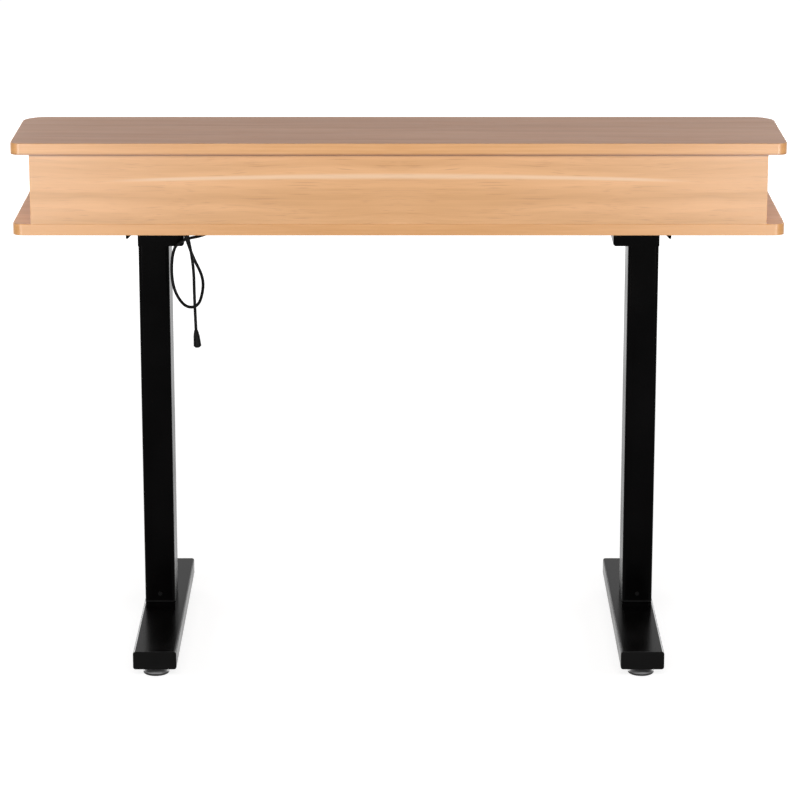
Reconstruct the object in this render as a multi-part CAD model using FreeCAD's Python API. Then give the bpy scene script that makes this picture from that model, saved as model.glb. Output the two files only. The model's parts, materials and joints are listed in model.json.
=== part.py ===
import FreeCAD, Part
import math
import os

from FreeCAD import Vector

# Height-adjustable computer desk with a raised rear shelf, at its lowest setting.
# Millimetres. The origin is on the floor under the middle of the desk. +Y runs from the
# rear edge to the user, +Z is up, and +X is to the right for somebody behind the desk.

# Boards
desk_width = 1200.0
desk_depth = 600.0
desk_underside = 734.0
board = 18.0
edge_band = 1.0
band_corner_ease = 0.4
band_edge_radius = 0.7
user_corner_radius = 35.0
rear_corner_radius = 15.0
shelf_depth = 230.0
shelf_overhang = 6.0
riser_height = 110.0
riser_end_inset = 29.0
riser_front_setback = 20.0

# Board fastenings
riser_fix_end = 91.0
riser_fix_inset = 50.0
riser_screw_radius = 3.2
riser_screw_length = 50.0
riser_screw_head_radius = 5.0
riser_screw_head_height = 4.0
dowel_radius = 4.0
dowel_in_shelf = 11.0
dowel_in_panel = 19.0
cam_radius = 7.5
cam_thickness = 12.5
cam_depth = 34.0
cam_bolt_radius = 3.0
cam_bolt_grip = 11.0
cam_bolt_tip = 4.0
drill_gap = 0.1
drill_end_gap = 0.5
passage_gap = 0.4

# Lifting columns
column_inset = 201.0
column_rearward = 20.0
column_width = 50.0
column_depth = 80.0
column_corner_radius = 6.0
tube_wall = 2.0
guide_space = 2.0
slide_gap = 0.3
seat_gap = 0.1
lift_travel = 450.0
rest_gap = 2.0
guide_lip = 3.0
lower_guide_height = 50.0
upper_guide_height = 40.0
upper_guide_lip = 2.0
guide_screw_rise = 12.0
guide_screw_head_radius = 3.5
guide_screw_head_height = 1.6
guide_screw_radius = 1.5
guide_screw_grip = 3.2
head_room = 30.0
spindle_radius = 7.0
journal_radius = 6.0
nut_height = 30.0
spindle_spare = 5.0
run_gap = 0.3

# Drive heads
housing_drop = 69.0
housing_reach = 25.0
housing_depth = 92.0
housing_wall = 2.5
housing_chamfer = 3.0
gearbox_width = 42.0
gearbox_depth = 84.0
gearbox_height = 40.0
gearbox_floor = 6.5
gearbox_cover = 4.0
spigot_height = 12.5
bearing_radius = 16.0
bearing_height = 10.0
wheel_radius = 17.0
wheel_height = 14.0
wheel_room = 2.0
wheel_rise = 9.0
motor_radius = 17.0
motor_length = 105.0
motor_offset = 23.0
motor_boss_radius = 8.0
motor_boss_length = 6.0
motor_window_gap = 1.0

# Under-desk frame
beam_wall = 2.0
beam_height = 46.0
beam_overlap = 30.0
bracket_wall = 3.0
bracket_end_gap = 60.0
bracket_width = 60.0
bracket_mid_height = 40.0
bracket_end_height = 14.0
bracket_screw_end = 15.0
bracket_screw_step = 95.0
bolt_radius = 3.0
bolt_head_radius = 5.25
bolt_head_height = 3.3
bolt_length = 8.0
beam_bolt_drop = 15.0
beam_bolt_step = 16.0
bracket_bolt_drop = 14.0
bracket_bolt_step = 50.0
bolt_hole_gap = 0.3
wood_screw_radius = 2.0
wood_screw_head_radius = 4.2
wood_screw_head_height = 2.6
wood_screw_length = 15.0

# Feet
foot_inset = 6.0
foot_setback = 10.0
foot_front_gap = 95.0
foot_width = 70.0
foot_height = 29.5
foot_wall = 2.5
foot_corner_radius = 4.0
foot_clearance = 16.5
foot_cap_thickness = 3.0
foot_cap_plug = 12.0
foot_cap_edge = 1.2
base_plate = 6.0
foot_bolt_radius = 4.0
foot_bolt_head_radius = 6.5
foot_bolt_head_height = 5.0
foot_bolt_tip = 2.0
foot_bolt_spread_x = 22.0
foot_bolt_spread_y = 52.0
foot_access_gap = 1.5
glide_inset = 35.0
glide_radius = 21.0
glide_height = 9.0
glide_edge = 1.0
glide_rim = 3.5
glide_crown = 5.0
glide_neck_radius = 8.0
glide_neck_height = 5.0
glide_stem_radius = 4.0
glide_stem_top = 40.0
glide_nut_radius = 8.0
glide_nut_height = 8.0

# Control box
control_offset = 386.0
control_length = 240.0
control_width = 58.0
control_height = 34.0
control_wall = 2.0
control_base = 3.0
control_ear = 16.0
control_screw_spread = 36.0
control_beam_gap = 4.0
control_post_radius = 4.0
control_screw_radius = 1.5
control_screw_head_radius = 2.8
control_screw_head_height = 1.8
control_screw_grip = 12.0
circuit_board = 1.6
circuit_margin = 3.0
circuit_drop = 12.0
socket_width = 10.0
socket_height = 9.0
socket_length = 10.0
socket_pitch = 13.0
gland_radius = 5.0
gland_length = 14.0
gland_drop = 18.0

# Hand controller
handset_bracket_gap = 9.0
handset_width = 110.0
handset_depth = 46.0
handset_height = 16.0
handset_setback = 3.0
handset_corner_radius = 5.0
handset_ear = 3.0
handset_screw_spread = 84.0
handset_screw_inset = 18.0
button_width = 22.0
button_height = 9.0
button_pitch = 32.0
button_proud = 1.2
button_stem = 6.0
button_gap = 0.3
button_room = 1.5
handset_socket_width = 12.0
handset_socket_height = 6.0
handset_socket_depth = 8.0

# Cord, with its route's places from the left-hand column's axis and the desk's underside
cord_radius = 2.5
cord_clip_gap = 0.3
clip_width = 14.0
clip_length = 6.0
clip_wall = 2.2
connector_neck_radius = 3.2
connector_shoulder_radius = 5.0
connector_radius = 6.3
connector_length = 28.0
connector_taper = 9.0
connector_round = 2.5
cord_turn_share = 0.45
cord_lead_out = 28.0
cord_offsets = [
    (191.0, -77.0, -7.0),
    (134.0, -77.0, -7.0),
    (92.0, -66.0, -46.0),
    (43.3, -64.0, -54.0),
    (30.7, -64.0, -79.5),
    (30.7, -64.0, -135.0),
    (50.0, -67.0, -169.5),
    (73.5, -71.0, -168.0),
    (82.5, -76.0, -136.0),
    (81.5, -80.0, -109.5),
    (65.0, -83.0, -76.0),
    (44.0, -84.0, -7.0),
    (58.0, -140.0, -7.0),
    (68.5, -135.0, -79.0),
    (69.0, -134.0, -134.0),
    (73.0, -134.0, -188.0),
]
cord_clip_runs = [2, 13]

# Heights worked out from the sizes above
foot_top = foot_clearance + foot_height
plate_top = foot_top + base_plate
guide_z = plate_top + rest_gap
tube_z = guide_z + guide_lip
tube_top = desk_underside - housing_drop
inner_top = tube_top - head_room
bracket_z = desk_underside - bracket_wall
housing_top = bracket_z - beam_wall
housing_floor = tube_top + housing_wall
gearbox_top = housing_floor + gearbox_height
wheel_z = housing_floor + gearbox_floor + wheel_rise
motor_z = wheel_z + wheel_height / 2
desk_top = desk_underside + board
shelf_z = desk_top + riser_height
cam_z = shelf_z - cam_depth

# Places worked out from the sizes above
desk_x = desk_width / 2
desk_rear = shelf_overhang - (desk_depth + shelf_overhang) / 2
desk_front = desk_rear + desk_depth
shelf_rear = desk_rear - shelf_overhang
shelf_front = shelf_rear + shelf_depth
riser_x = desk_x - riser_end_inset
riser_y = desk_rear + board
riser_mid = desk_rear + board / 2
side_x = riser_x - board
side_mid = riser_x - board / 2
side_front = shelf_front - riser_front_setback
side_fix_y = side_front - riser_fix_inset
side_dowel_y = riser_y + riser_fix_inset
riser_fix_spacing = 2 * (riser_x - riser_fix_end) / 3
column_x = desk_x - column_inset
column_y = (desk_rear + desk_front) / 2 - column_rearward
column_out = column_x + column_width / 2
housing_in = column_x - column_width / 2 - housing_reach
beam_x = housing_in + beam_overlap
beam_y = housing_depth / 2
bracket_length = desk_depth - 2 * bracket_end_gap
bracket_in = column_out + bracket_wall - bracket_width
inner_inset = tube_wall + guide_space
bore_inset = inner_inset + tube_wall
gearbox_x = column_x - gearbox_width / 2
foot_x = column_x - foot_inset
foot_rear = desk_rear + foot_setback
foot_front = desk_front - foot_front_gap
control_x = control_offset - column_x
control_left = control_x - control_length / 2
control_right = control_x + control_length / 2
control_front = column_y - beam_y - beam_wall - control_beam_gap
control_rear = control_front - control_width
control_mid = (control_front + control_rear) / 2
control_z = desk_underside - control_height
control_seat = desk_underside - control_base
circuit_z = control_seat - circuit_drop
board_z = circuit_z - circuit_board
handset_x = handset_bracket_gap + handset_width / 2 - bracket_in
handset_z = desk_underside - handset_height
handset_front = desk_front - handset_setback
button_z = desk_underside - handset_height / 2
button_back = handset_front - button_stem
gland_tip = control_left - gland_length
gland_z = desk_underside - gland_drop
cord_route = [(gland_tip, control_mid, gland_z), (gland_tip - cord_lead_out, control_mid, gland_z)]
cord_route += [(x - column_x, column_y + y, desk_underside + z) for x, y, z in cord_offsets]


def box(x0, x1, y0, y1, z0, z1):
    return Part.makeBox(x1 - x0, y1 - y0, z1 - z0, Vector(x0, y0, z0))


def rod(radius, start, end):
    return Part.makeCylinder(radius, (end - start).Length, start, end - start)


def upright(radius, x, y, z0, z1):
    return rod(radius, Vector(x, y, z0), Vector(x, y, z1))


def mirrored(shape):
    return shape.mirror(Vector(0, 0, 0), Vector(1, 0, 0))


def rounded_face(x0, x1, y0, y1, rear_radius, front_radius):
    """Flat rectangle in the XY plane with its two rear and its two front corners rounded."""
    corners = [
        (x0, y0, 1, 1, rear_radius),
        (x1, y0, -1, 1, rear_radius),
        (x1, y1, -1, -1, front_radius),
        (x0, y1, 1, -1, front_radius),
    ]
    arcs = []
    for number, (x, y, inward_x, inward_y, radius) in enumerate(corners):
        along_x = Vector(x + inward_x * radius, y, 0)
        along_y = Vector(x, y + inward_y * radius, 0)
        slack = radius * (1 - math.sqrt(0.5))
        middle = Vector(x + inward_x * slack, y + inward_y * slack, 0)
        ends = (along_y, along_x) if number % 2 == 0 else (along_x, along_y)
        arcs.append((ends[0], middle, ends[1]))
    edges = []
    for number, (start, middle, end) in enumerate(arcs):
        edges.append(Part.Arc(start, middle, end).toShape())
        edges.append(Part.LineSegment(end, arcs[(number + 1) % 4][0]).toShape())
    return Part.Face(Part.Wire(edges))


def plate(x0, x1, y0, y1, rear_radius, front_radius, z0, z1):
    face = rounded_face(x0, x1, y0, y1, rear_radius, front_radius)
    face.translate(Vector(0, 0, z0))
    return face.extrude(Vector(0, 0, z1 - z0))


def bar_along_y(x0, x1, z0, z1, radius, y0, y1):
    """Bar with a rounded rectangular section, lying along Y."""
    face = rounded_face(x0, x1, z0, z1, radius, radius)
    face.rotate(Vector(0, 0, 0), Vector(1, 0, 0), 90)
    face.translate(Vector(0, y0, 0))
    return face.extrude(Vector(0, y1 - y0, 0))


def prism_along_y(points, y0, y1):
    """Straight-sided section, given as (x, z) corners, extruded along Y."""
    wire = Part.makePolygon([Vector(x, y0, z) for x, z in points + points[:1]])
    return Part.Face(wire).extrude(Vector(0, y1 - y0, 0))


def lathe(profile, x, y, z):
    """Solid of revolution about a vertical axis from (radius, height) corners."""
    wire = Part.makePolygon([Vector(radius, 0, height) for radius, height in profile + profile[:1]])
    solid = Part.Face(wire).revolve(Vector(0, 0, 0), Vector(0, 0, 1), 360)
    solid.translate(Vector(x, y, z))
    return solid


def column_bar(inset, z0, z1):
    """Upright bar on the right-hand column's axis, set in from the outer tube's faces."""
    half_x = column_width / 2 - inset
    half_y = column_depth / 2 - inset
    radius = max(column_corner_radius - inset, tube_wall / 2)
    left, right = column_x - half_x, column_x + half_x
    return plate(left, right, column_y - half_y, column_y + half_y, radius, radius, z0, z1)


def save(node, *solids):
    shape = solids[0] if len(solids) == 1 else Part.makeCompound(list(solids))
    shape.exportStep("parts/" + node + ".step")


def save_pair(name, right_shape):
    """Write a piece of the right-hand leg and its mirror image on the left-hand one."""
    save("right_" + name, right_shape)
    save("left_" + name, mirrored(right_shape))


# Places of the repeated fastenings

def riser_screw_places():
    steps = (-1.5, -0.5, 0.5, 1.5)
    rear_row = [(step * riser_fix_spacing, riser_mid) for step in steps]
    return rear_row + [(x, side_fix_y) for x in (-side_mid, 0.0, side_mid)]


def dowel_places():
    rear_row = [(-riser_fix_spacing, riser_mid), (riser_fix_spacing, riser_mid)]
    return rear_row + [(x, side_dowel_y) for x in (-side_mid, 0.0, side_mid)]


def cam_places():
    """Points on the panels' inner faces, each with the direction into its panel."""
    places = []
    for x, y in riser_screw_places():
        if y == riser_mid:
            places.append((Vector(x, riser_y, cam_z), Vector(0, -1, 0)))
        elif x < 0:
            places.append((Vector(-side_x, y, cam_z), Vector(-1, 0, 0)))
        elif x > 0:
            places.append((Vector(side_x, y, cam_z), Vector(1, 0, 0)))
        else:
            places.append((Vector(board / 2, y, cam_z), Vector(-1, 0, 0)))
    return places


def bracket_screw_places():
    x = bracket_in + bracket_screw_end
    outer_reach = bracket_length / 2 - bracket_screw_end
    reaches = (outer_reach, outer_reach - bracket_screw_step)
    ys = [column_y + end * reach for reach in reaches for end in (-1, 1)]
    return [(side * x, y) for side in (-1, 1) for y in ys]


def control_screw_places():
    reach = control_length / 2 + control_ear / 2
    spread = control_screw_spread / 2
    return [(control_x + a * reach, control_mid + b * spread) for a in (-1, 1) for b in (-1, 1)]


def handset_screw_places():
    y = handset_front - handset_depth + handset_screw_inset
    return [(handset_x + a * handset_screw_spread / 2, y) for a in (-1, 1)]


def wood_screw_places():
    """Every screw into the desktop's underside, with the thickness that it clamps."""
    places = [(x, y, bracket_wall) for x, y in bracket_screw_places()]
    places += [(x, y, control_base) for x, y in control_screw_places()]
    return places + [(x, y, handset_ear) for x, y in handset_screw_places()]


def control_post_places():
    inset = control_wall + control_post_radius
    xs = (control_left + inset, control_right - inset)
    ys = (control_rear + inset, control_front - inset)
    return [(x, y) for x in xs for y in ys]


def foot_bolt_places():
    spread_x, spread_y = foot_bolt_spread_x / 2, foot_bolt_spread_y / 2
    return [(column_x + a * spread_x, column_y + b * spread_y) for a in (-1, 1) for b in (-1, 1)]


def glide_places():
    return {"rear": foot_rear + glide_inset, "front": foot_front - glide_inset}


# Boards and their edge bands

def board_core(y0, y1, z0):
    x = desk_x - edge_band
    ease = band_corner_ease - edge_band
    radii = (rear_corner_radius + ease, user_corner_radius + ease)
    return plate(-x, x, y0 + edge_band, y1 - edge_band, *radii, z0, z0 + board)


def board_band(y0, y1, z0):
    outer = plate(-desk_x, desk_x, y0, y1, rear_corner_radius, user_corner_radius, z0, z0 + board)
    rims = [edge for edge in outer.Edges if edge.BoundBox.ZLength < edge_band / 10]
    outer = outer.makeFillet(min(band_edge_radius, 0.8 * edge_band), rims)
    x = desk_x - edge_band
    radii = (rear_corner_radius - edge_band, user_corner_radius - edge_band)
    return outer.cut(plate(-x, x, y0 + edge_band, y1 - edge_band, *radii, z0, z0 + board))


def desktop():
    cuts = []
    for x, y in riser_screw_places():
        head_top = desk_underside + riser_screw_head_height
        cuts.append(upright(riser_screw_head_radius + drill_gap, x, y, desk_underside, head_top))
        cuts.append(upright(riser_screw_radius + drill_gap, x, y, head_top, desk_top))
    for x, y, clamped in wood_screw_places():
        depth = wood_screw_length - clamped + drill_end_gap
        cuts.append(upright(wood_screw_radius + drill_gap, x, y, desk_underside, desk_underside + depth))
    return board_core(desk_rear, desk_front, desk_underside).cut(cuts)


def shelf():
    cuts = []
    dowel_end = shelf_z + dowel_in_shelf + drill_end_gap
    for x, y in dowel_places():
        cuts.append(upright(dowel_radius + drill_gap, x, y, shelf_z, dowel_end))
    bolt_end = shelf_z + cam_bolt_grip + drill_end_gap
    for x, y in riser_screw_places():
        cuts.append(upright(cam_bolt_radius + drill_gap, x, y, shelf_z, bolt_end))
    return board_core(shelf_rear, shelf_front, shelf_z).cut(cuts)


def drilled_panel(x0, x1, y0, y1):
    """Riser panel with the bores for its screws, dowels and cam fittings."""
    cuts = []
    screw_top = desk_underside + riser_screw_length + drill_end_gap
    for x, y in riser_screw_places():
        cuts.append(upright(riser_screw_radius + drill_gap, x, y, desk_top, screw_top))
        cuts.append(upright(cam_bolt_radius + passage_gap, x, y, cam_z, shelf_z))
    dowel_end = shelf_z - dowel_in_panel - drill_end_gap
    for x, y in dowel_places():
        cuts.append(upright(dowel_radius + drill_gap, x, y, dowel_end, shelf_z))
    for point, inward in cam_places():
        bottom = point + inward * (cam_thickness + drill_gap)
        cuts.append(rod(cam_radius + drill_gap, point, bottom))
    return box(x0, x1, y0, y1, desk_top, shelf_z).cut(cuts)


def back_panel():
    x = riser_x - edge_band
    return drilled_panel(-x, x, desk_rear, riser_y)


def right_side_panel():
    return drilled_panel(side_x, riser_x, riser_y, side_front - edge_band)


def centre_divider():
    return drilled_panel(-board / 2, board / 2, riser_y, side_front - edge_band)


def riser_edge_bands():
    bands = []
    for x0, x1 in ((-riser_x, -side_x), (-board / 2, board / 2), (side_x, riser_x)):
        bands.append(box(x0, x1, side_front - edge_band, side_front, desk_top, shelf_z))
    for x0, x1 in ((-riser_x, edge_band - riser_x), (riser_x - edge_band, riser_x)):
        bands.append(box(x0, x1, desk_rear, riser_y, desk_top, shelf_z))
    return bands


# Fastenings of the boards

def riser_screw(x, y):
    head_top = desk_underside + riser_screw_head_height
    head = upright(riser_screw_head_radius, x, y, desk_underside, head_top)
    return head.fuse(upright(riser_screw_radius, x, y, head_top, desk_underside + riser_screw_length))


def shelf_dowel(x, y):
    return upright(dowel_radius, x, y, shelf_z - dowel_in_panel, shelf_z + dowel_in_shelf)


def cam_bolt(x, y):
    return upright(cam_bolt_radius, x, y, cam_z - cam_bolt_tip, shelf_z + cam_bolt_grip)


def cam_lock(point, inward):
    disc = rod(cam_radius, point, point + inward * cam_thickness)
    axis = point + inward * (board / 2)
    bottom = cam_z - cam_bolt_tip - passage_gap
    return disc.cut(upright(cam_bolt_radius + passage_gap, axis.x, axis.y, bottom, shelf_z))


def wood_screw(x, y, clamped):
    seat = desk_underside - clamped
    head = upright(wood_screw_head_radius, x, y, seat - wood_screw_head_height, seat)
    return head.fuse(upright(wood_screw_radius, x, y, seat, seat + wood_screw_length))


# Under-desk frame

def side_bracket():
    """Angle along the right-hand column: a flat flange under the desk and a tapered upright one."""
    y0, y1 = column_y - bracket_length / 2, column_y + bracket_length / 2
    outer = column_out + bracket_wall
    flange = box(outer - bracket_width, outer, y0, y1, bracket_z, desk_underside)
    end_z, mid_z = desk_underside - bracket_end_height, desk_underside - bracket_mid_height
    reach = housing_depth / 2
    side = [(y0, desk_underside), (y0, end_z), (column_y - reach, mid_z)]
    side += [(column_y + reach, mid_z), (y1, end_z), (y1, desk_underside)]
    wire = Part.makePolygon([Vector(column_out, y, z) for y, z in side + side[:1]])
    bracket = flange.fuse(Part.Face(wire).extrude(Vector(bracket_wall, 0, 0))).removeSplitter()
    cuts = []
    for x, y in bracket_screw_places():
        cuts.append(upright(wood_screw_radius + bolt_hole_gap, x, y, bracket_z, desk_underside))
    return bracket.cut(cuts + bracket_bolt_holes())


def bracket_bolt_places():
    z = desk_underside - bracket_bolt_drop
    return [Vector(column_out + bracket_wall, column_y + a * bracket_bolt_step / 2, z) for a in (-1, 1)]


def bracket_bolt_holes():
    inward = Vector(-1, 0, 0) * (bracket_wall + housing_wall)
    return [rod(bolt_radius + bolt_hole_gap, place, place + inward) for place in bracket_bolt_places()]


def beam_bolt_places():
    """Bolt seats on the crossbeam's two walls over the right-hand housing, with their directions."""
    x = (housing_in + beam_x) / 2
    places = []
    for side in (-1, 1):
        for row in (0, 1):
            z = bracket_z - beam_bolt_drop - row * beam_bolt_step
            seat = Vector(x, column_y + side * (beam_y + beam_wall), z)
            places.append((seat, Vector(0, -side, 0)))
    return places


def beam_bolt_holes():
    radius = bolt_radius + bolt_hole_gap
    depth = beam_wall + housing_wall
    return [rod(radius, seat, seat + inward * depth) for seat, inward in beam_bolt_places()]


def frame_bolt(seat, inward):
    head = rod(bolt_head_radius, seat, seat - inward * bolt_head_height)
    return head.fuse(rod(bolt_radius, seat, seat + inward * bolt_length))


def crossbeam():
    """Folded channel, open below, over both drive heads."""
    outer_y, inner_y = beam_y + beam_wall, beam_y
    z0 = bracket_z - beam_height
    outer = box(-beam_x, beam_x, column_y - outer_y, column_y + outer_y, z0, bracket_z)
    inner = box(-beam_x, beam_x, column_y - inner_y, column_y + inner_y, z0, housing_top)
    holes = beam_bolt_holes()
    return outer.cut([inner] + holes + [mirrored(hole) for hole in holes])


# Drive heads

def head_housing():
    """Sheet-steel head on the right-hand column, open at the top, with a chamfered inner corner."""
    def section(inset, chamfer):
        left, right, bottom = housing_in + inset, column_out - inset, tube_top + inset
        corner = [(left, bottom + chamfer), (left + chamfer, bottom)]
        return corner + [(right, bottom), (right, housing_top), (left, housing_top)]

    half = housing_depth / 2
    inner_chamfer = housing_chamfer - (2 - math.sqrt(2)) * housing_wall
    shell = prism_along_y(section(0, housing_chamfer), column_y - half, column_y + half)
    half -= housing_wall
    room = prism_along_y(section(housing_wall, inner_chamfer), column_y - half, column_y + half)
    mouth = column_bar(tube_wall, tube_top, housing_floor)
    window_y = column_y + motor_offset
    window_start = Vector(housing_in, window_y, motor_z)
    window_end = window_start + Vector(housing_chamfer + housing_wall, 0, 0)
    window = rod(motor_radius + motor_window_gap, window_start, window_end)
    return shell.cut([room, mouth, window] + beam_bolt_holes() + bracket_bolt_holes())


def gearbox():
    half = gearbox_depth / 2
    x0, x1 = gearbox_x, gearbox_x + gearbox_width
    block = box(x0, x1, column_y - half, column_y + half, housing_floor, gearbox_top)
    spigot = column_bar(tube_wall + seat_gap, housing_floor - spigot_height, housing_floor)
    wheel_room_z = housing_floor + gearbox_floor
    room = upright(wheel_radius + wheel_room, column_x, column_y, wheel_room_z, gearbox_top)
    bearing_z = housing_floor - spigot_height
    seat = upright(bearing_radius + seat_gap, column_x, column_y, bearing_z, bearing_z + bearing_height)
    passage = upright(journal_radius + passage_gap, column_x, column_y, bearing_z, wheel_room_z)
    boss_y = column_y + motor_offset
    boss_end = Vector(gearbox_x + motor_boss_length + drill_end_gap, boss_y, motor_z)
    boss_seat = rod(motor_boss_radius + seat_gap, Vector(gearbox_x, boss_y, motor_z), boss_end)
    return block.fuse(spigot).cut([room, seat, passage, boss_seat])


def gearbox_lid():
    half = gearbox_depth / 2
    x1 = gearbox_x + gearbox_width
    return box(gearbox_x, x1, column_y - half, column_y + half, gearbox_top, gearbox_top + gearbox_cover)


def motor():
    y = column_y + motor_offset
    face = Vector(gearbox_x, y, motor_z)
    can = rod(motor_radius, face, face - Vector(motor_length, 0, 0))
    return can.fuse(rod(motor_boss_radius, face, face + Vector(motor_boss_length, 0, 0)))


def spindle_bearing():
    z0 = housing_floor - spigot_height
    ring = upright(bearing_radius, column_x, column_y, z0, z0 + bearing_height)
    return ring.cut(upright(journal_radius + run_gap, column_x, column_y, z0, z0 + bearing_height))


def spindle():
    """Lifting screw hung from the gearbox, with the worm wheel on its journal."""
    low = inner_top - nut_height - spindle_spare - lift_travel
    shoulder = housing_floor - spigot_height - run_gap
    screw = upright(spindle_radius, column_x, column_y, low, shoulder)
    journal = upright(journal_radius, column_x, column_y, shoulder, wheel_z)
    wheel = upright(wheel_radius, column_x, column_y, wheel_z, wheel_z + wheel_height)
    return screw.fuse([journal, wheel])


# Telescopic columns

def outer_tube():
    hole_y = column_depth / 2
    z = tube_z + guide_screw_rise
    hole_ends = (Vector(column_x, column_y - hole_y, z), Vector(column_x, column_y + hole_y, z))
    screw_hole = rod(guide_screw_radius + drill_gap, *hole_ends)
    return column_bar(0, tube_z, tube_top).cut([column_bar(tube_wall, tube_z, tube_top), screw_hole])


def lower_guide():
    """Plastic collar in the mouth of the outer tube, with a lip under the tube's end."""
    body_top = tube_z + lower_guide_height
    collar = column_bar(tube_wall + seat_gap, tube_z, body_top).fuse(column_bar(0, guide_z, tube_z))
    cuts = [column_bar(inner_inset - slide_gap, guide_z, body_top)]
    z = tube_z + guide_screw_rise
    for side in (-1, 1):
        face = Vector(column_x, column_y + side * column_depth / 2, z)
        inside = Vector(column_x, column_y, z)
        cuts.append(rod(guide_screw_radius + drill_gap, face, inside))
    return collar.cut(cuts)


def guide_screws():
    screws = []
    z = tube_z + guide_screw_rise
    for side in (-1, 1):
        face = Vector(column_x, column_y + side * column_depth / 2, z)
        outward = Vector(0, side, 0)
        head = rod(guide_screw_head_radius, face, face + outward * guide_screw_head_height)
        screws.append(head.fuse(rod(guide_screw_radius, face, face - outward * guide_screw_grip)))
    return screws


def inner_tube():
    """Lower stage: a tube welded on the plate that is bolted to the foot."""
    walls = column_bar(inner_inset, plate_top, inner_top).cut(column_bar(bore_inset, plate_top, inner_top))
    foot_plate = column_bar(0, foot_top, plate_top)
    radius = foot_bolt_radius + drill_gap
    holes = [upright(radius, x, y, foot_top, plate_top) for x, y in foot_bolt_places()]
    return foot_plate.cut(holes).fuse(walls)


def upper_guide():
    """Plastic collar on the top end of the inner tube, running in the outer tube."""
    sleeve_z = inner_top - upper_guide_height
    outer = column_bar(tube_wall + slide_gap, sleeve_z, inner_top + upper_guide_lip)
    sleeve_bore = column_bar(inner_inset - seat_gap, sleeve_z, inner_top)
    return outer.cut([sleeve_bore, column_bar(bore_inset, sleeve_z, inner_top + upper_guide_lip)])


def spindle_nut():
    z0 = inner_top - nut_height
    block = column_bar(bore_inset + seat_gap, z0, inner_top)
    return block.cut(upright(spindle_radius + run_gap, column_x, column_y, z0, inner_top))


# Feet

def foot():
    """Box-section foot with bolt holes in the top, access holes below and weld nuts for the glides."""
    x0, x1 = foot_x - foot_width / 2, foot_x + foot_width / 2
    y0, y1 = foot_rear + foot_cap_thickness, foot_front - foot_cap_thickness
    outer = bar_along_y(x0, x1, foot_clearance, foot_top, foot_corner_radius, y0, y1)
    inner_radius = foot_corner_radius - foot_wall
    floor, ceiling = foot_clearance + foot_wall, foot_top - foot_wall
    inner = bar_along_y(x0 + foot_wall, x1 - foot_wall, floor, ceiling, inner_radius, y0, y1)
    tube = outer.cut(inner)
    for y in glide_places().values():
        tube = tube.fuse(upright(glide_nut_radius, foot_x, y, floor, floor + glide_nut_height))
    cuts = []
    for y in glide_places().values():
        radius = glide_stem_radius + run_gap
        cuts.append(upright(radius, foot_x, y, foot_clearance, floor + glide_nut_height))
    for x, y in foot_bolt_places():
        cuts.append(upright(foot_bolt_radius + bolt_hole_gap, x, y, ceiling, foot_top))
        cuts.append(upright(foot_bolt_head_radius + foot_access_gap, x, y, foot_clearance, floor))
    return tube.cut(cuts)


def foot_cap():
    """Plastic end cap at the rear of the right-hand foot: a rounded face and a plug."""
    x0, x1 = foot_x - foot_width / 2, foot_x + foot_width / 2
    seam = foot_rear + foot_cap_thickness
    face = bar_along_y(x0, x1, foot_clearance, foot_top, foot_corner_radius, foot_rear, seam)
    outer_edges = [edge for edge in face.Edges if abs(edge.BoundBox.YMax - foot_rear) < foot_cap_edge / 10]
    face = face.makeFillet(foot_cap_edge, outer_edges)
    inset = foot_wall + seat_gap
    radius = max(foot_corner_radius - inset, foot_wall / 2)
    z0, z1 = foot_clearance + inset, foot_top - inset
    return face.fuse(bar_along_y(x0 + inset, x1 - inset, z0, z1, radius, seam, seam + foot_cap_plug))


def foot_caps():
    rear = foot_cap()
    middle = Vector(0, (foot_rear + foot_front) / 2, 0)
    return Part.makeCompound([rear, rear.mirror(middle, Vector(0, 1, 0))])


def foot_bolts():
    seat = foot_top - foot_wall
    bolts = []
    for x, y in foot_bolt_places():
        head = upright(foot_bolt_head_radius, x, y, seat - foot_bolt_head_height, seat)
        bolts.append(head.fuse(upright(foot_bolt_radius, x, y, seat, plate_top + foot_bolt_tip)))
    return Part.makeCompound(bolts)


def levelling_glide(y):
    """Round pad on a threaded stem, screwed right in."""
    neck_top = glide_height + glide_neck_height
    profile = [(0, 0), (glide_radius - glide_edge, 0), (glide_radius, glide_edge)]
    profile += [(glide_radius, glide_rim), (glide_radius - glide_crown, glide_height)]
    profile.append((glide_neck_radius, glide_height))
    profile += [(glide_neck_radius, neck_top), (glide_stem_radius, neck_top)]
    profile += [(glide_stem_radius, glide_stem_top), (0, glide_stem_top)]
    return lathe(profile, foot_x, y, 0)


# Control box

def control_box_base():
    x0, x1 = control_left - control_ear, control_right + control_ear
    slab = box(x0, x1, control_rear, control_front, control_seat, desk_underside)
    posts = [upright(control_post_radius, x, y, circuit_z, control_seat) for x, y in control_post_places()]
    base = slab.fuse(posts)
    cuts = []
    for x, y in control_screw_places():
        cuts.append(upright(wood_screw_radius + bolt_hole_gap, x, y, control_seat, desk_underside))
    drill_end = circuit_z + control_screw_grip
    for x, y in control_post_places():
        cuts.append(upright(control_screw_radius + drill_gap, x, y, circuit_z, drill_end))
    return base.cut(cuts)


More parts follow.
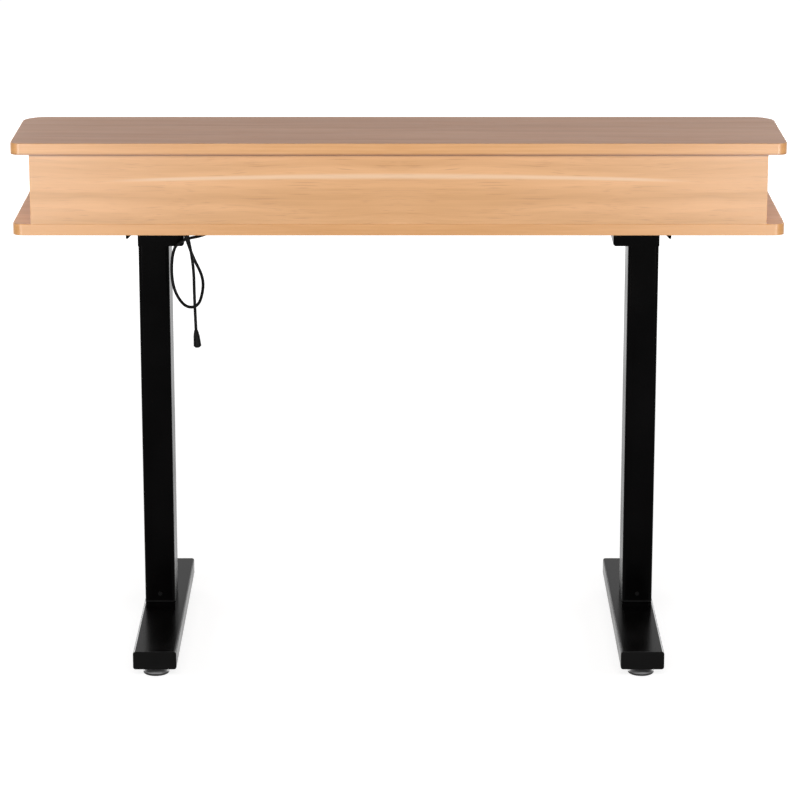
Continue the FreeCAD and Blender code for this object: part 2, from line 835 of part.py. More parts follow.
def control_box_cover():
    """Lower shell of the control box, with screw posts, socket windows and the cord's hole."""
    shell = box(control_left, control_right, control_rear, control_front, control_z, control_seat)
    wall = control_wall
    room = box(control_left + wall, control_right - wall, control_rear + wall, control_front - wall,
               control_z + wall, control_seat)
    cover = shell.cut(room)
    posts = [upright(control_post_radius, x, y, control_z, board_z) for x, y in control_post_places()]
    cover = cover.fuse(posts)
    cuts = []
    for x, y in control_post_places():
        cuts.append(upright(control_screw_radius + passage_gap, x, y, control_z, board_z))
        head_top = control_z + control_screw_head_height
        cuts.append(upright(control_screw_head_radius + passage_gap, x, y, control_z, head_top))
    for y in socket_places():
        gap = passage_gap
        cuts.append(box(control_right - wall, control_right, y - gap, y + socket_width + gap,
                        board_z - socket_height - gap, board_z + gap))
    hole_start = Vector(control_left, control_mid, gland_z)
    cuts.append(rod(cord_radius + passage_gap, hole_start, hole_start + Vector(wall, 0, 0)))
    return cover.cut(cuts)


def socket_places():
    """Rear edges of the row of sockets on the control board."""
    return [control_mid + step * socket_pitch - socket_width / 2 for step in (-1, 0, 1)]


def control_board():
    inset = control_wall + circuit_margin
    x0, x1 = control_left + inset, control_right - inset
    card = box(x0, x1, control_rear + inset, control_front - inset, board_z, circuit_z)
    sockets = []
    for y in socket_places():
        sockets.append(box(control_right - socket_length, control_right, y, y + socket_width,
                           board_z - socket_height, board_z))
    card = card.fuse(sockets)
    holes = []
    for x, y in control_post_places():
        holes.append(upright(control_screw_radius + passage_gap, x, y, board_z, circuit_z))
    return card.cut(holes)


def control_screw(x, y):
    head_top = control_z + control_screw_head_height
    head = upright(control_screw_head_radius, x, y, control_z, head_top)
    tip = circuit_z + control_screw_grip - drill_end_gap
    return head.fuse(upright(control_screw_radius, x, y, head_top, tip))


def cord_gland():
    face = Vector(control_left, control_mid, gland_z)
    sleeve = rod(gland_radius, face, Vector(gland_tip, control_mid, gland_z))
    rim = [edge for edge in sleeve.Edges if abs(edge.BoundBox.XMax - gland_tip) < drill_gap]
    return sleeve.makeFillet(gland_radius - cord_radius - seat_gap, rim)


# Hand controller

def handset_housing():
    """Small console under the front edge, with two button wells and a socket at the back."""
    rear = handset_front - handset_depth
    x0, x1 = handset_x - handset_width / 2, handset_x + handset_width / 2
    radius = handset_corner_radius
    body = plate(x0, x1, rear, handset_front, radius, radius, handset_z, desk_underside)
    cuts = []
    for x in button_places():
        half_x, half_z = button_width / 2 + button_gap, button_height / 2 + button_gap
        cuts.append(box(x - half_x, x + half_x, button_back - button_room, handset_front,
                        button_z - half_z, button_z + half_z))
    for x, y in handset_screw_places():
        ear_z = desk_underside - handset_ear
        cuts.append(upright(wood_screw_radius + bolt_hole_gap, x, y, ear_z, desk_underside))
        cuts.append(upright(wood_screw_head_radius + bolt_hole_gap, x, y, handset_z, ear_z))
    half = handset_socket_width / 2
    low = button_z - handset_socket_height / 2
    cuts.append(box(handset_x - half, handset_x + half, rear, rear + handset_socket_depth,
                    low, low + handset_socket_height))
    return body.cut(cuts)


def button_places():
    return [handset_x - button_pitch / 2, handset_x + button_pitch / 2]


def button(x):
    half_x, half_z = button_width / 2, button_height / 2
    front = handset_front + button_proud
    return box(x - half_x, x + half_x, button_back, front, button_z - half_z, button_z + half_z)


# Cord and what holds it

def cord_wire():
    """Straight runs of the route joined by tangent arcs, and the arcs' radii."""
    points = [Vector(*point) for point in cord_route]
    edges, radii = [], []
    start = points[0]
    for before, corner, after in zip(points, points[1:], points[2:]):
        into, out = (corner - before), (after - corner)
        reach = cord_turn_share * min(into.Length, out.Length)
        half_turn = into.getAngle(out) / 2
        radius = reach / math.tan(half_turn)
        into.normalize()
        out.normalize()
        arc_start, arc_end = corner - into * reach, corner + out * reach
        towards = (out - into).normalize()
        middle = corner + towards * (radius / math.cos(half_turn) - radius)
        edges.append(Part.LineSegment(start, arc_start).toShape())
        edges.append(Part.Arc(arc_start, middle, arc_end).toShape())
        radii.append(radius)
        start = arc_end
    edges.append(Part.LineSegment(start, points[-1]).toShape())
    return Part.Wire(edges), radii


def power_cord():
    path, radii = cord_wire()
    start = Vector(*cord_route[0])
    direction = Vector(*cord_route[1]) - start
    section = Part.Wire(Part.makeCircle(cord_radius, start, direction))
    solid = path.makePipeShell([section], True, False)
    ideal = math.pi * cord_radius ** 2 * path.Length
    print("cord length %.1f, least radius %.1f" % (path.Length, min(radii)))
    print("cord volume over section times length %.4f" % (solid.Volume / ideal))
    return solid


def cable_clip(run):
    """Block under the desktop round the middle of one straight run of the cord."""
    start, end = Vector(*cord_route[run]), Vector(*cord_route[run + 1])
    middle = (start + end) / 2
    along = end - start
    bore = cord_radius + cord_clip_gap
    block = box(-clip_length / 2, clip_length / 2, -clip_width / 2, clip_width / 2,
                middle.z - bore - clip_wall, desk_underside)
    turn = math.degrees(math.atan2(along.y, along.x))
    block.rotate(Vector(0, 0, 0), Vector(0, 0, 1), turn)
    block.translate(Vector(middle.x, middle.y, 0))
    return block.cut(rod(bore, start, end))


def cord_connector():
    """Round in-line connector, widening from its cord end to its rounded mating end."""
    end = Vector(*cord_route[-1])
    along = end - Vector(*cord_route[-2])
    profile = [Vector(0, 0, 0), Vector(connector_neck_radius, 0, 0)]
    profile.append(Vector(connector_shoulder_radius, 0, connector_taper))
    profile.append(Vector(connector_radius, 0, connector_length - connector_round))
    profile.append(Vector(connector_radius - connector_round, 0, connector_length))
    profile.append(Vector(0, 0, connector_length))
    face = Part.Face(Part.makePolygon(profile + profile[:1]))
    solid = face.revolve(Vector(0, 0, 0), Vector(0, 0, 1), 360)
    solid.Placement = FreeCAD.Placement(end, FreeCAD.Rotation(Vector(0, 0, 1), along))
    return solid


os.makedirs("parts", exist_ok=True)

save("desktop", desktop())
save("desktop_edge_band", board_band(desk_rear, desk_front, desk_underside))
save("shelf", shelf())
save("shelf_edge_band", board_band(shelf_rear, shelf_front, shelf_z))
save("back_panel", back_panel())
save_pair("side_panel", right_side_panel())
save("centre_divider", centre_divider())
save("riser_edge_bands", *riser_edge_bands())
save("riser_screws", *[riser_screw(x, y) for x, y in riser_screw_places()])
save("shelf_dowels", *[shelf_dowel(x, y) for x, y in dowel_places()])
save("cam_bolts", *[cam_bolt(x, y) for x, y in riser_screw_places()])
save("cam_locks", *[cam_lock(point, inward) for point, inward in cam_places()])
save("wood_screws", *[wood_screw(*place) for place in wood_screw_places()])

save_pair("side_bracket", side_bracket())
bracket_bolts = [frame_bolt(place, Vector(-1, 0, 0)) for place in bracket_bolt_places()]
save("bracket_bolts", *bracket_bolts, *[mirrored(bolt) for bolt in bracket_bolts])
save("crossbeam", crossbeam())
beam_bolts = [frame_bolt(seat, inward) for seat, inward in beam_bolt_places()]
save("crossbeam_bolts", *beam_bolts, *[mirrored(bolt) for bolt in beam_bolts])

save_pair("head_housing", head_housing())
save_pair("gearbox", gearbox())
save("gearbox_covers", gearbox_lid(), mirrored(gearbox_lid()))
save_pair("motor", motor())
save("spindle_bearings", spindle_bearing(), mirrored(spindle_bearing()))
save_pair("spindle", spindle())

save_pair("outer_tube", outer_tube())
save("lower_guides", lower_guide(), mirrored(lower_guide()))
save("guide_screws", *guide_screws(), *[mirrored(screw) for screw in guide_screws()])
save_pair("inner_tube", inner_tube())
save_pair("upper_guide", upper_guide())
save_pair("spindle_nut", spindle_nut())

save_pair("foot", foot())
save_pair("foot_caps", foot_caps())
save_pair("foot_bolts", foot_bolts())
for end_name, glide_y in glide_places().items():
    save_pair(end_name + "_glide", levelling_glide(glide_y))

save("control_box_base", control_box_base())
save("control_box_cover", control_box_cover())
save("control_board", control_board())
save("control_box_screws", *[control_screw(x, y) for x, y in control_post_places()])
save("cord_gland", cord_gland())

save("handset_housing", handset_housing())
save("up_button", button(button_places()[0]))
save("down_button", button(button_places()[1]))

save("power_cord", power_cord())
save("cable_clips", *[cable_clip(run) for run in cord_clip_runs])
save("cord_connector", cord_connector())
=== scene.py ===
import json
import math

import bmesh
import bpy
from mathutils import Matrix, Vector


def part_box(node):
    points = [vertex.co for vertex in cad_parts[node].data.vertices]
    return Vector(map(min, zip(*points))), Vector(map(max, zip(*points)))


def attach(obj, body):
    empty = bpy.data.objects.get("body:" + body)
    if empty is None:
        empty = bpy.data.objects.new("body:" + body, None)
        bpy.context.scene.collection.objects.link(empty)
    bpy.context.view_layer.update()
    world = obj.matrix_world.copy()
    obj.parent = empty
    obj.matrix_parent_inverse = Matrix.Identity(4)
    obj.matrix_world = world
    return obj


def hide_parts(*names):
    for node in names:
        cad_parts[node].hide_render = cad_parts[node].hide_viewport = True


# Height-adjustable computer desk, seen from behind. Metres, in the CAD model's frame.

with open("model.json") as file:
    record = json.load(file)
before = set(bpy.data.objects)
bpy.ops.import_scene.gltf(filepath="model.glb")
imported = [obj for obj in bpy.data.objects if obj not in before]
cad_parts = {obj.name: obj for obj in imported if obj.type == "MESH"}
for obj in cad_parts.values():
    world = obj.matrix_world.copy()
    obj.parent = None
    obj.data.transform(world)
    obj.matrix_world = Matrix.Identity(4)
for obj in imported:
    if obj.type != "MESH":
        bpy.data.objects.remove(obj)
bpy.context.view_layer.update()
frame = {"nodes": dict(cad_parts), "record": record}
nodes = frame["nodes"]
scene = bpy.context.scene
scene.view_settings.view_transform = "Standard"

# Camera, at the photograph's viewing angle

CAMERA_PLACE = (0.0, -5.4008, 1.8514)
CAMERA_TILT = 15.173
CAMERA_LENS = 151.2
CAMERA_SENSOR = 36.0
CAMERA_SHIFT = (0.00175, 0.0016)

camera_data = bpy.data.cameras.new("camera")
camera_data.sensor_width = CAMERA_SENSOR
camera_data.lens = CAMERA_LENS
camera_data.shift_x, camera_data.shift_y = CAMERA_SHIFT
camera = bpy.data.objects.new("camera", camera_data)
camera.location = CAMERA_PLACE
camera.rotation_euler = (math.radians(90 - CAMERA_TILT), 0, 0)
scene.collection.objects.link(camera)
scene.camera = camera

# Power cord, on its solid's route, with the loop's foot and the tail moved to follow the photograph

CORD_RADIUS = 0.0025
CORD_ORDER = 3
CORD_STEPS_ALONG = 10
CORD_STEPS_ROUND = 4
CORD_ROUTE = [
    (-0.147, -0.098, 0.716),
    (-0.175, -0.098, 0.716),
    (-0.208, -0.094, 0.727),
    (-0.265, -0.094, 0.727),
    (-0.307, -0.083, 0.688),
    (-0.3557, -0.081, 0.680),
    (-0.3683, -0.081, 0.6545),
    (-0.3683, -0.081, 0.602),
    (-0.349, -0.084, 0.568),
    (-0.3255, -0.088, 0.5695),
    (-0.3165, -0.093, 0.600),
    (-0.3175, -0.097, 0.6245),
    (-0.334, -0.100, 0.658),
    (-0.355, -0.101, 0.727),
    (-0.341, -0.157, 0.727),
    (-0.328, -0.152, 0.655),
    (-0.328, -0.151, 0.600),
    (-0.326, -0.151, 0.546),
]


def power_cord():
    curve = bpy.data.curves.new("power_cord_line", "CURVE")
    curve.dimensions = "3D"
    curve.bevel_depth = 1.0
    curve.bevel_resolution = CORD_STEPS_ROUND
    curve.resolution_u = CORD_STEPS_ALONG
    curve.use_fill_caps = True
    spline = curve.splines.new("NURBS")
    spline.points.add(len(CORD_ROUTE) - 1)
    for point, place in zip(spline.points, CORD_ROUTE):
        point.co = (*place, 1.0)
        point.radius = CORD_RADIUS
    spline.order_u = CORD_ORDER
    spline.use_endpoint_u = True
    cord = bpy.data.objects.new("power_cord_line", curve)
    scene.collection.objects.link(cord)
    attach(cord, "top")
    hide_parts("power_cord")
    return cord


cord = power_cord()

# Raised arrows on the two buttons of the hand controller

ARROW_HALF = 0.0036
ARROW_HEIGHT = 0.0046
ARROW_PROUD = 0.0004
ARROW_SUNK = 0.0003
ARROW_BEVEL = 0.00015
ARROW_BEVEL_STEPS = 2


def button_arrow(name, button, direction):
    """Triangle pointing up (1) or down (-1) in the middle of the button's face, riding on the button."""
    low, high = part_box(button)
    middle = (low + high) / 2
    base = middle.z - direction * ARROW_HEIGHT / 2
    tip = middle.z + direction * ARROW_HEIGHT / 2
    outline = [(middle.x - ARROW_HALF, base), (middle.x + ARROW_HALF, base), (middle.x, tip)]
    mesh = bmesh.new()
    back = [mesh.verts.new((x, high.y - ARROW_SUNK, z)) for x, z in outline]
    front = [mesh.verts.new((x, high.y + ARROW_PROUD, z)) for x, z in outline]
    mesh.faces.new(back)
    mesh.faces.new(front)
    for first, second in ((0, 1), (1, 2), (2, 0)):
        mesh.faces.new((back[first], back[second], front[second], front[first]))
    rim = [edge for edge in mesh.edges if all(vertex in front for vertex in edge.verts)]
    bmesh.ops.bevel(mesh, geom=rim, offset=ARROW_BEVEL, segments=ARROW_BEVEL_STEPS, affect="EDGES")
    bmesh.ops.recalc_face_normals(mesh, faces=mesh.faces)
    data = bpy.data.meshes.new(name)
    mesh.to_mesh(data)
    mesh.free()
    arrow = bpy.data.objects.new(name, data)
    scene.collection.objects.link(arrow)
    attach(arrow, button)
    return arrow


arrows = [button_arrow("up_arrow", "up_button", 1), button_arrow("down_arrow", "down_button", -1)]


# Material helpers. The sockets of a Mix node that mixes colours go by number, as their names repeat.

MIX_FACTOR = 0
MIX_FIRST_COLOUR = 6
MIX_SECOND_COLOUR = 7
MIX_COLOUR_RESULT = 2


class Graph:
    """Node tree of one material, with short calls for the nodes that the materials share."""

    def __init__(self, name, **sockets):
        self.material = bpy.data.materials.new(name)
        self.material.use_nodes = True
        self.tree = self.material.node_tree
        self.shader = self.tree.nodes["Principled BSDF"]
        self.place = self.add("TexCoord").outputs["Object"]
        for socket, value in sockets.items():
            self.feed(self.shader.inputs[socket.replace("_", " ")], value)

    def feed(self, socket, value):
        if isinstance(value, bpy.types.NodeSocket):
            self.tree.links.new(value, socket)
        else:
            socket.default_value = value

    def add(self, kind, inputs=(), **settings):
        node = self.tree.nodes.new("ShaderNode" + kind)
        for name, value in settings.items():
            setattr(node, name, value)
        for key, value in dict(inputs).items():
            self.feed(node.inputs[key], value)
        return node

    def math(self, operation, first, second=0.0):
        return self.add("Math", {0: first, 1: second}, operation=operation).outputs[0]

    def vector(self, operation, first, second):
        return self.add("VectorMath", {0: first, 1: second}, operation=operation).outputs[0]

    def parts(self):
        return self.add("SeparateXYZ", {0: self.place}).outputs

    def noise(self, place, scale, detail=2.0, roughness=0.5, output="Fac"):
        scaled = self.vector("MULTIPLY", place, scale)
        inputs = {"Vector": scaled, "Scale": 1.0, "Detail": detail, "Roughness": roughness}
        return self.add("TexNoise", inputs).outputs[output]

    def remap(self, value, old, new, smooth=False):
        inputs = {"Value": value, "From Min": old[0], "From Max": old[1], "To Min": new[0], "To Max": new[1]}
        interpolation = "SMOOTHSTEP" if smooth else "LINEAR"
        return self.add("MapRange", inputs, interpolation_type=interpolation).outputs[0]

    def mix(self, factor, first, second):
        inputs = {MIX_FACTOR: factor, MIX_FIRST_COLOUR: first, MIX_SECOND_COLOUR: second}
        return self.add("Mix", inputs, data_type="RGBA").outputs[MIX_COLOUR_RESULT]

    def weigh(self, *pairs):
        """Sum of values, each given with its weight."""
        total = 0.0
        for value, weight in pairs:
            total = self.math("ADD", total, self.math("MULTIPLY", value, weight))
        return total

    def bump(self, height, distance):
        inputs = {"Height": height, "Distance": distance, "Strength": 1.0}
        self.feed(self.shader.inputs["Normal"], self.add("Bump", inputs).outputs[0])

    def colour(self, value):
        self.feed(self.shader.inputs["Base Color"], value)

    def rough(self, value):
        self.feed(self.shader.inputs["Roughness"], value)


def rgb(red, green, blue):
    return (red, green, blue, 1.0)


def grey(level):
    return rgb(level, level, level)


def even(scale):
    return (scale, scale, scale)


# Ranges for remapping: a whole blend, and the levels that most of a noise lies between

WHOLE = (0.0, 1.0)
NOISE_MIDDLE = (0.3, 0.7)

# Painted light on the oak: a painted shadow under the shelf, on the back panel and the edging, and a painted
# reflection streak along the back panel

SHELF_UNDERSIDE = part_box("shelf")[0].z
# Painted shadow under the shelf's overhang: its tone, its strength, and how far it reaches on the edging and
# on the panel
SHELF_SHADOW_TONE = rgb(0.33, 0.13, 0.04)
SHELF_SHADOW_STRENGTH = 0.9
SHELF_SHADOW_REACH_ON_EDGE = 0.0036
SHELF_SHADOW_REACH_ON_PANEL = 0.0056

PANEL_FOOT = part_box("back_panel")[0].z
# Painted reflection streak on the back panel: its height, bow, colour, width and fade
REFLECTION_RISE = 0.0757
REFLECTION_BOW = 0.037
REFLECTION_COLOUR = rgb(0.86, 0.62, 0.42)
REFLECTION_TAPER = (0.1, 0.45)
REFLECTION_HALVES = (0.0062, 0.0034)
REFLECTION_SOFTNESS = (0.15, 1.0)
REFLECTION_FADE = (0.35, 0.47)
REFLECTION_STRENGTH = 0.55


def painted_shelf_shadow(graph, colour, reach):
    """Painted shadow under the shelf: darkest at the shelf's underside on the back panel and the edging,
    fading out over the reach.
    """
    away = graph.math("ABSOLUTE", graph.math("SUBTRACT", graph.parts()["Z"], SHELF_UNDERSIDE))
    return graph.mix(graph.remap(away, (0.0, reach), (SHELF_SHADOW_STRENGTH, 0.0)), colour, SHELF_SHADOW_TONE)


def painted_reflection_streak(graph, colour):
    """Painted reflection: a long pale streak along the middle of the back panel, bowed down and thinner
    towards its ends.
    """
    parts = graph.parts()
    reach = graph.math("ABSOLUTE", parts["X"])
    bow = graph.math("MULTIPLY", graph.math("MULTIPLY", reach, reach), REFLECTION_BOW)
    line = graph.math("ADD", graph.math("SUBTRACT", parts["Z"], PANEL_FOOT + REFLECTION_RISE), bow)
    half = graph.remap(reach, REFLECTION_TAPER, REFLECTION_HALVES)
    across = graph.math("DIVIDE", graph.math("ABSOLUTE", line), half)
    mask = graph.remap(across, REFLECTION_SOFTNESS, (1.0, 0.0), smooth=True)
    fade = graph.remap(reach, REFLECTION_FADE, (REFLECTION_STRENGTH, 0.0), smooth=True)
    return graph.mix(graph.math("MULTIPLY", mask, fade), colour, REFLECTION_COLOUR)


# Oak decor: broad tone, growth bands, fine streaks and pores, all drawn out along the grain.
# Scales are per metre, along the grain and across it.

WANDER_SCALE = (2.6, 9.0)
WANDER_REACH = 0.04
BROAD_SCALE = (0.9, 8.0)
BROAD_SHARE = 0.35
BANDS_SCALE = (2.2, 52.0)
BANDS_ROUGHNESS = 0.55
BANDS_SHARE = 0.5
STREAKS_SCALE = (6.0, 340.0)
STREAKS_ROUGHNESS = 0.6
STREAKS_SHARE = 0.15
TONE_LEVELS = (0.36, 0.64)
PORES_SCALE = (17.0, 620.0)
PORES_LEVELS = (0.60, 0.74)
PORES_STRENGTH = 0.40
GRAIN_DEPTH = 0.00006


def grain_scale(scale, axis):
    along, across = scale
    return tuple(along if name == axis else across for name in "XYZ")


def oak(name, tones, specular, rough, axis="X", back_panel=False):
    """Printed oak in dark, light and pore tones. The back panel's print is mirrored about the middle, and it
    gets a painted reflection streak and a painted shadow under the shelf.
    """
    dark, light, pore = tones
    graph = Graph(name, Specular_IOR_Level=specular)
    place = graph.place
    if back_panel:
        place = graph.vector("ABSOLUTE", place, even(0.0))
    wander = graph.noise(place, grain_scale(WANDER_SCALE, axis), output="Color")
    wander = graph.vector("SUBTRACT", wander, even(0.5))
    wander = graph.vector("MULTIPLY", wander, grain_scale((0.0, WANDER_REACH), axis))
    place = graph.vector("ADD", place, wander)
    broad = graph.noise(place, grain_scale(BROAD_SCALE, axis), detail=1.0)
    bands = graph.noise(place, grain_scale(BANDS_SCALE, axis), roughness=BANDS_ROUGHNESS)
    streaks = graph.noise(place, grain_scale(STREAKS_SCALE, axis), roughness=STREAKS_ROUGHNESS)
    tone = graph.weigh((broad, BROAD_SHARE), (bands, BANDS_SHARE), (streaks, STREAKS_SHARE))
    colour = graph.mix(graph.remap(tone, TONE_LEVELS, WHOLE), dark, light)
    pores = graph.noise(place, grain_scale(PORES_SCALE, axis), detail=1.0)
    pores = graph.remap(pores, PORES_LEVELS, (0.0, PORES_STRENGTH))
    colour = graph.mix(pores, colour, pore)
    # Back panel: a painted reflection streak and a painted shadow under the shelf
    if back_panel:
        colour = painted_shelf_shadow(graph, painted_reflection_streak(graph, colour), SHELF_SHADOW_REACH_ON_PANEL)
    graph.colour(colour)
    graph.rough(graph.remap(streaks, NOISE_MIDDLE, rough))
    graph.bump(graph.math("SUBTRACT", streaks, pores), GRAIN_DEPTH)
    return graph.material


EDGE_BANDS_SCALE = (3.0, 0.0, 150.0)
EDGE_BANDS_SHARE = 0.6
EDGE_STREAKS_SCALE = (14.0, 0.0, 700.0)
EDGE_STREAKS_SHARE = 0.4


def edge_band(name, dark, light, specular, rough):
    """Printed edging: streaks run along the edge, whichever way it faces."""
    graph = Graph(name, Specular_IOR_Level=specular)
    parts = graph.parts()
    along = graph.math("ADD", graph.math("ABSOLUTE", parts["X"]), parts["Y"])
    place = graph.add("CombineXYZ", {"X": along, "Z": parts["Z"]}).outputs[0]
    bands = graph.noise(place, EDGE_BANDS_SCALE)
    streaks = graph.noise(place, EDGE_STREAKS_SCALE)
    tone = graph.weigh((bands, EDGE_BANDS_SHARE), (streaks, EDGE_STREAKS_SHARE))
    colour = graph.mix(graph.remap(tone, NOISE_MIDDLE, WHOLE), dark, light)
    # Painted shadow along the edging just under the shelf
    graph.colour(painted_shelf_shadow(graph, colour, SHELF_SHADOW_REACH_ON_EDGE))
    graph.rough(graph.remap(streaks, NOISE_MIDDLE, rough))
    graph.bump(streaks, GRAIN_DEPTH)
    return graph.material


# Metal and plastic finishes

MOTTLE_SCALE = 9.0
MOTTLE_LEVELS = (0.35, 0.65)


def coated(name, dark, light, speckle, rough, depth, specular):
    """Paint or moulded plastic: slight mottling, a fine surface grain and an uneven gloss."""
    graph = Graph(name, Specular_IOR_Level=specular)
    mottle = graph.noise(graph.place, even(MOTTLE_SCALE), detail=3.0)
    graph.colour(graph.mix(graph.remap(mottle, MOTTLE_LEVELS, WHOLE), dark, light))
    graph.rough(graph.remap(mottle, NOISE_MIDDLE, rough))
    graph.bump(graph.noise(graph.place, even(speckle)), depth)
    return graph.material


CLOUDS_SCALE = 60.0
MARKS_DEPTH = 0.00002


def metal(name, dark, light, rough, drawn):
    """Bare or plated metal: cloudy tone and fine marks, drawn out along the axis with the lowest scale."""
    graph = Graph(name, Metallic=1.0)
    clouds = graph.noise(graph.place, even(CLOUDS_SCALE), detail=3.0)
    marks = graph.noise(graph.place, drawn)
    graph.colour(graph.mix(graph.remap(clouds, NOISE_MIDDLE, WHOLE), dark, light))
    graph.rough(graph.remap(marks, NOISE_MIDDLE, rough))
    graph.bump(marks, MARKS_DEPTH)
    return graph.material


TRACKS_SCALE = 260.0
TRACKS_LEVELS = (0.42, 0.46)


def circuit_card(name, board, track, specular, rough):
    """Green circuit board with lighter tracks."""
    graph = Graph(name, Specular_IOR_Level=specular)
    cells = graph.vector("MULTIPLY", graph.place, even(TRACKS_SCALE))
    tracks = graph.add("TexVoronoi", {"Vector": cells, "Scale": 1.0}, distance="MANHATTAN")
    mask = graph.remap(tracks.outputs["Distance"], TRACKS_LEVELS, WHOLE)
    graph.colour(graph.mix(mask, board, track))
    graph.rough(graph.remap(mask, WHOLE, rough))
    return graph.material


GLIDE_SPLIT = (0.0035, 0.0038)
GLIDE_CLOUDS_SCALE = 240.0
GLIDE_SPECKLE = 1800.0
GLIDE_DEPTH = 0.00002
GLIDE_CROWN = (rgb(0.30, 0.30, 0.305), rgb(0.40, 0.40, 0.405))
GLIDE_RIM = (grey(0.003), grey(0.008))


def glide_pad(name, specular, rough):
    """Levelling glide: a black moulded rim under a grey crown and stem, split by height."""
    graph = Graph(name, Specular_IOR_Level=specular)
    crown = graph.remap(graph.parts()["Z"], GLIDE_SPLIT, WHOLE)
    clouds = graph.noise(graph.place, even(GLIDE_CLOUDS_SCALE), detail=3.0)
    graph.colour(graph.mix(crown, graph.mix(clouds, *GLIDE_RIM), graph.mix(clouds, *GLIDE_CROWN)))
    graph.rough(graph.remap(clouds, NOISE_MIDDLE, rough))
    graph.bump(graph.noise(graph.place, even(GLIDE_SPECKLE)), GLIDE_DEPTH)
    return graph.material


# Finishes: one for each material slot of the record, and some that single nodes have of their own

# The boards and the desktop are one oak in a shaded and a lit copy: the boards' copy, seen on the shelf, is
# darker as painted shade for the little light on the shelf's top, and the desktop's copy is lighter as
# painted light.
SHADED_SHELF_OAK = (rgb(0.457, 0.214, 0.109), rgb(0.574, 0.297, 0.169), rgb(0.35, 0.153, 0.070))
LIT_DESKTOP_OAK = (rgb(0.630, 0.300, 0.125), rgb(0.790, 0.415, 0.205), rgb(0.47, 0.210, 0.085))
PANEL_OAK = (rgb(0.572, 0.281, 0.092), rgb(0.758, 0.397, 0.168), rgb(0.44, 0.196, 0.064))
DOWEL_WOOD = (rgb(0.52, 0.36, 0.20), rgb(0.70, 0.52, 0.32), rgb(0.40, 0.25, 0.13))
BOARD_GLOSS = {"specular": 0.35, "rough": (0.40, 0.50)}
PANEL_GLOSS = {"specular": 0.5, "rough": (0.30, 0.38)}
BLACK = rgb(0.0008, 0.0007, 0.0007)
POWDER_COAT = {"dark": BLACK, "light": rgb(0.0016, 0.0014, 0.0015), "speckle": 1400.0, "rough": (0.17, 0.25),
               "depth": 0.00001}

finishes = {
    "board_face": oak("oak_board_shaded", SHADED_SHELF_OAK, **BOARD_GLOSS),
    "panel_face": oak("oak_panel", PANEL_OAK, **PANEL_GLOSS, back_panel=True),
    "edge_band": edge_band("oak_edging", rgb(0.596, 0.273, 0.076), rgb(0.714, 0.356, 0.126), **PANEL_GLOSS),
    "dowel_wood": oak("dowel_wood", DOWEL_WOOD, specular=0.3, rough=(0.5, 0.6), axis="Z"),
    "frame_black": coated("powder_coat", **POWDER_COAT, specular=0.022),
    "black_plastic": coated("black_plastic", BLACK, grey(0.003), speckle=2200.0, rough=(0.38, 0.5),
                            depth=0.00003, specular=0.045),
    "black_bolt": coated("black_oxide", rgb(0.004, 0.004, 0.005), rgb(0.010, 0.010, 0.011), speckle=1800.0,
                         rough=(0.3, 0.45), depth=0.00002, specular=0.3),
    "nylon": coated("black_nylon", grey(0.003), grey(0.006), speckle=1600.0, rough=(0.4, 0.55),
                    depth=0.00003, specular=0.04),
    "button_grey": coated("button_grey", rgb(0.10, 0.10, 0.105), rgb(0.15, 0.15, 0.155), speckle=2400.0,
                          rough=(0.4, 0.52), depth=0.00002, specular=0.4),
    "cord_black": coated("cord_sheath", grey(0.0012), grey(0.003), speckle=1500.0, rough=(0.38, 0.5),
                         depth=0.00003, specular=0.05),
    "zinc_steel": metal("zinc_plate", rgb(0.50, 0.51, 0.53), rgb(0.68, 0.68, 0.70), rough=(0.24, 0.4),
                        drawn=(900.0, 900.0, 90.0)),
    "spindle_steel": metal("spindle_steel", rgb(0.42, 0.43, 0.45), rgb(0.60, 0.61, 0.63), rough=(0.18, 0.3),
                           drawn=even(700.0)),
    "cast_gearbox": metal("cast_alloy", rgb(0.38, 0.39, 0.40), rgb(0.55, 0.56, 0.57), rough=(0.42, 0.6),
                          drawn=even(1200.0)),
    "motor_can": metal("motor_can", rgb(0.20, 0.20, 0.21), rgb(0.32, 0.32, 0.33), rough=(0.3, 0.42),
                       drawn=(40.0, 900.0, 900.0)),
    "circuit": circuit_card("circuit_card", rgb(0.010, 0.09, 0.035), rgb(0.03, 0.17, 0.06), specular=0.5,
                            rough=(0.3, 0.45)),
}
own_finishes = {
    # Desktop: the lit copy of the boards' oak, lighter as painted light
    "desktop": oak("oak_desktop_lit", LIT_DESKTOP_OAK, **BOARD_GLOSS),
    "guide_screws": finishes["black_plastic"],
}
side_oak = oak("oak_side", PANEL_OAK, **PANEL_GLOSS, axis="Y")
for upright in ("left_side_panel", "right_side_panel", "centre_divider"):
    own_finishes[upright] = side_oak
foot_finish = coated("foot_powder_coat", **POWDER_COAT, specular=0.045)
glide_finish = glide_pad("glide_pad", specular=0.35, rough=(0.26, 0.36))
for side in ("left", "right"):
    own_finishes[side + "_foot"] = foot_finish
    own_finishes[side + "_rear_glide"] = glide_finish
    own_finishes[side + "_front_glide"] = glide_finish
arrow_finish = coated("button_mark", rgb(0.55, 0.55, 0.56), rgb(0.62, 0.62, 0.63), speckle=2400.0,
                      rough=(0.4, 0.5), depth=0.00002, specular=0.4)

for subpart in frame["record"]["subparts"]:
    finish = own_finishes.get(subpart["node"], finishes[subpart["material_slot"]])
    for material_slot in nodes[subpart["node"]].material_slots:
        material_slot.material = finish
cord.data.materials.append(finishes["cord_black"])
for arrow in arrows:
    arrow.data.materials.append(arrow_finish)


# Stage: floor, soft lights and a white surround

FLOOR_HALF = 20.0
FLOOR_TONE = grey(0.40)
FLOOR_GLOW = (0.80, 0.985)
FLOOR_GLOW_REACH = (1.0, 3.2)
AMBIENT = 0.11


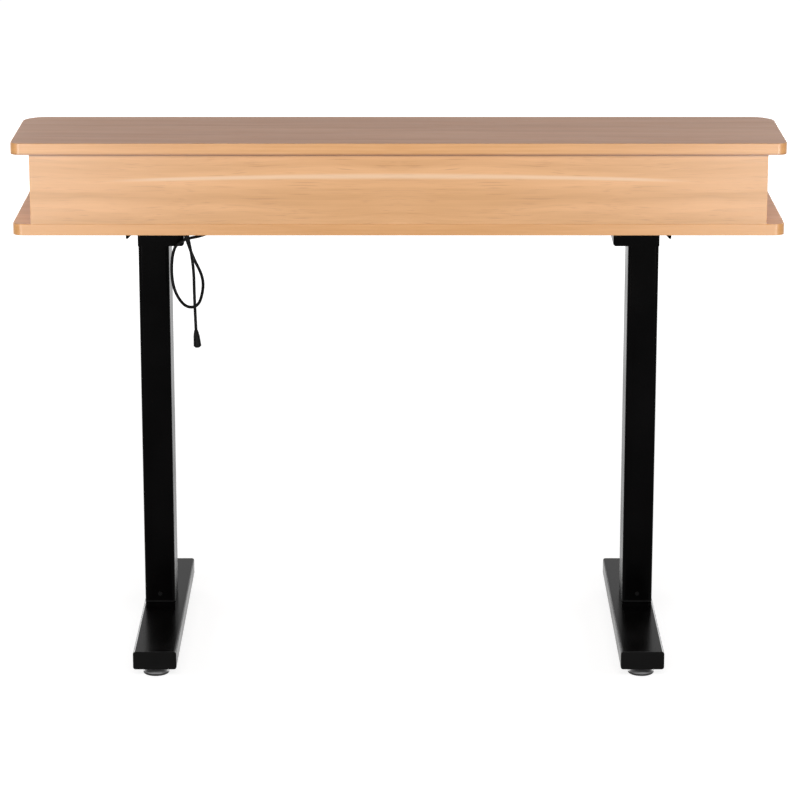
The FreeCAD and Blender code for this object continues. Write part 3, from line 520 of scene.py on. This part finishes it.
def seen_directly(tree):
    """One for the rays that see the background: camera, glossy and transmission."""
    path = tree.nodes.new("ShaderNodeLightPath").outputs
    seen = path["Is Camera Ray"]
    for kind in ("Is Glossy Ray", "Is Transmission Ray"):
        either = tree.nodes.new("ShaderNodeMath")
        either.operation = "MAXIMUM"
        tree.links.new(seen, either.inputs[0])
        tree.links.new(path[kind], either.inputs[1])
        seen = either.outputs[0]
    return seen


def floor():
    """Matt floor that also glows for the rays that see the background, a little less near the desk."""
    mesh = bpy.data.meshes.new("floor")
    corners = [(x, y, 0.0) for x, y in ((-1, -1), (1, -1), (1, 1), (-1, 1))]
    mesh.from_pydata([Vector(corner) * FLOOR_HALF for corner in corners], [], [(0, 1, 2, 3)])
    plane = bpy.data.objects.new("floor", mesh)
    scene.collection.objects.link(plane)
    graph = Graph("floor")
    away = graph.add("VectorMath", {0: graph.place}, operation="LENGTH").outputs["Value"]
    level = graph.remap(away, FLOOR_GLOW_REACH, FLOOR_GLOW, smooth=True)
    glow = graph.add("Emission", {"Strength": graph.math("MULTIPLY", seen_directly(graph.tree), level)})
    matte = graph.add("BsdfDiffuse", {"Color": FLOOR_TONE})
    both = graph.add("AddShader", {0: glow.outputs[0], 1: matte.outputs[0]})
    graph.feed(graph.tree.nodes["Material Output"].inputs["Surface"], both.outputs[0])
    mesh.materials.append(graph.material)


def surround():
    """World that is white to the rays that see the background and a dim ambient light to the rest."""
    world = bpy.data.worlds.new("surround")
    world.use_nodes = True
    tree = world.node_tree
    level = tree.nodes.new("ShaderNodeMapRange")
    level.inputs["To Min"].default_value = AMBIENT
    tree.links.new(seen_directly(tree), level.inputs["Value"])
    background = tree.nodes["Background"]
    background.inputs["Color"].default_value = grey(1.0)
    tree.links.new(level.outputs[0], background.inputs["Strength"])
    scene.world = world


def softbox(name, place, aim, size, power, diffuse=True, glossy=True):
    """Soft lamp in watts; diffuse and glossy say which kinds of surface it lights."""
    lamp = bpy.data.lights.new(name, "AREA")
    lamp.shape = "RECTANGLE"
    lamp.size, lamp.size_y = size
    lamp.energy = power
    box = bpy.data.objects.new(name, lamp)
    box.location = place
    box.rotation_euler = (Vector(aim) - Vector(place)).to_track_quat("-Z", "Y").to_euler()
    box.visible_diffuse = diffuse
    box.visible_glossy = glossy
    scene.collection.objects.link(box)


def softbox_pair(name, place, aim, size, power, diffuse=True):
    """The same lamp on both sides; place and aim are the right one's."""
    for side, sign in (("left", -1), ("right", 1)):
        mirror = Vector((sign, 1, 1))
        softbox(side + "_" + name, Vector(place) * mirror, Vector(aim) * mirror, size, power, diffuse)


floor()
surround()
softbox("front", place=(0, -4.4, 2.8), aim=(0, -0.2, 0.8), size=(3.0, 0.6), power=128, glossy=False)
softbox_pair("strip", place=(1.75, -4.2, 0.5), aim=(0.45, 0, 0.7), size=(1.4, 0.9), power=124, diffuse=False)
softbox_pair("side", place=(2.0, -1.3, 1.15), aim=(0, 0, 0.7), size=(1.0, 0.8), power=14)
softbox_pair("fill", place=(2.6, 4.4, 1.2), aim=(0.2, 0, 0.7), size=(2.2, 2.0), power=100)
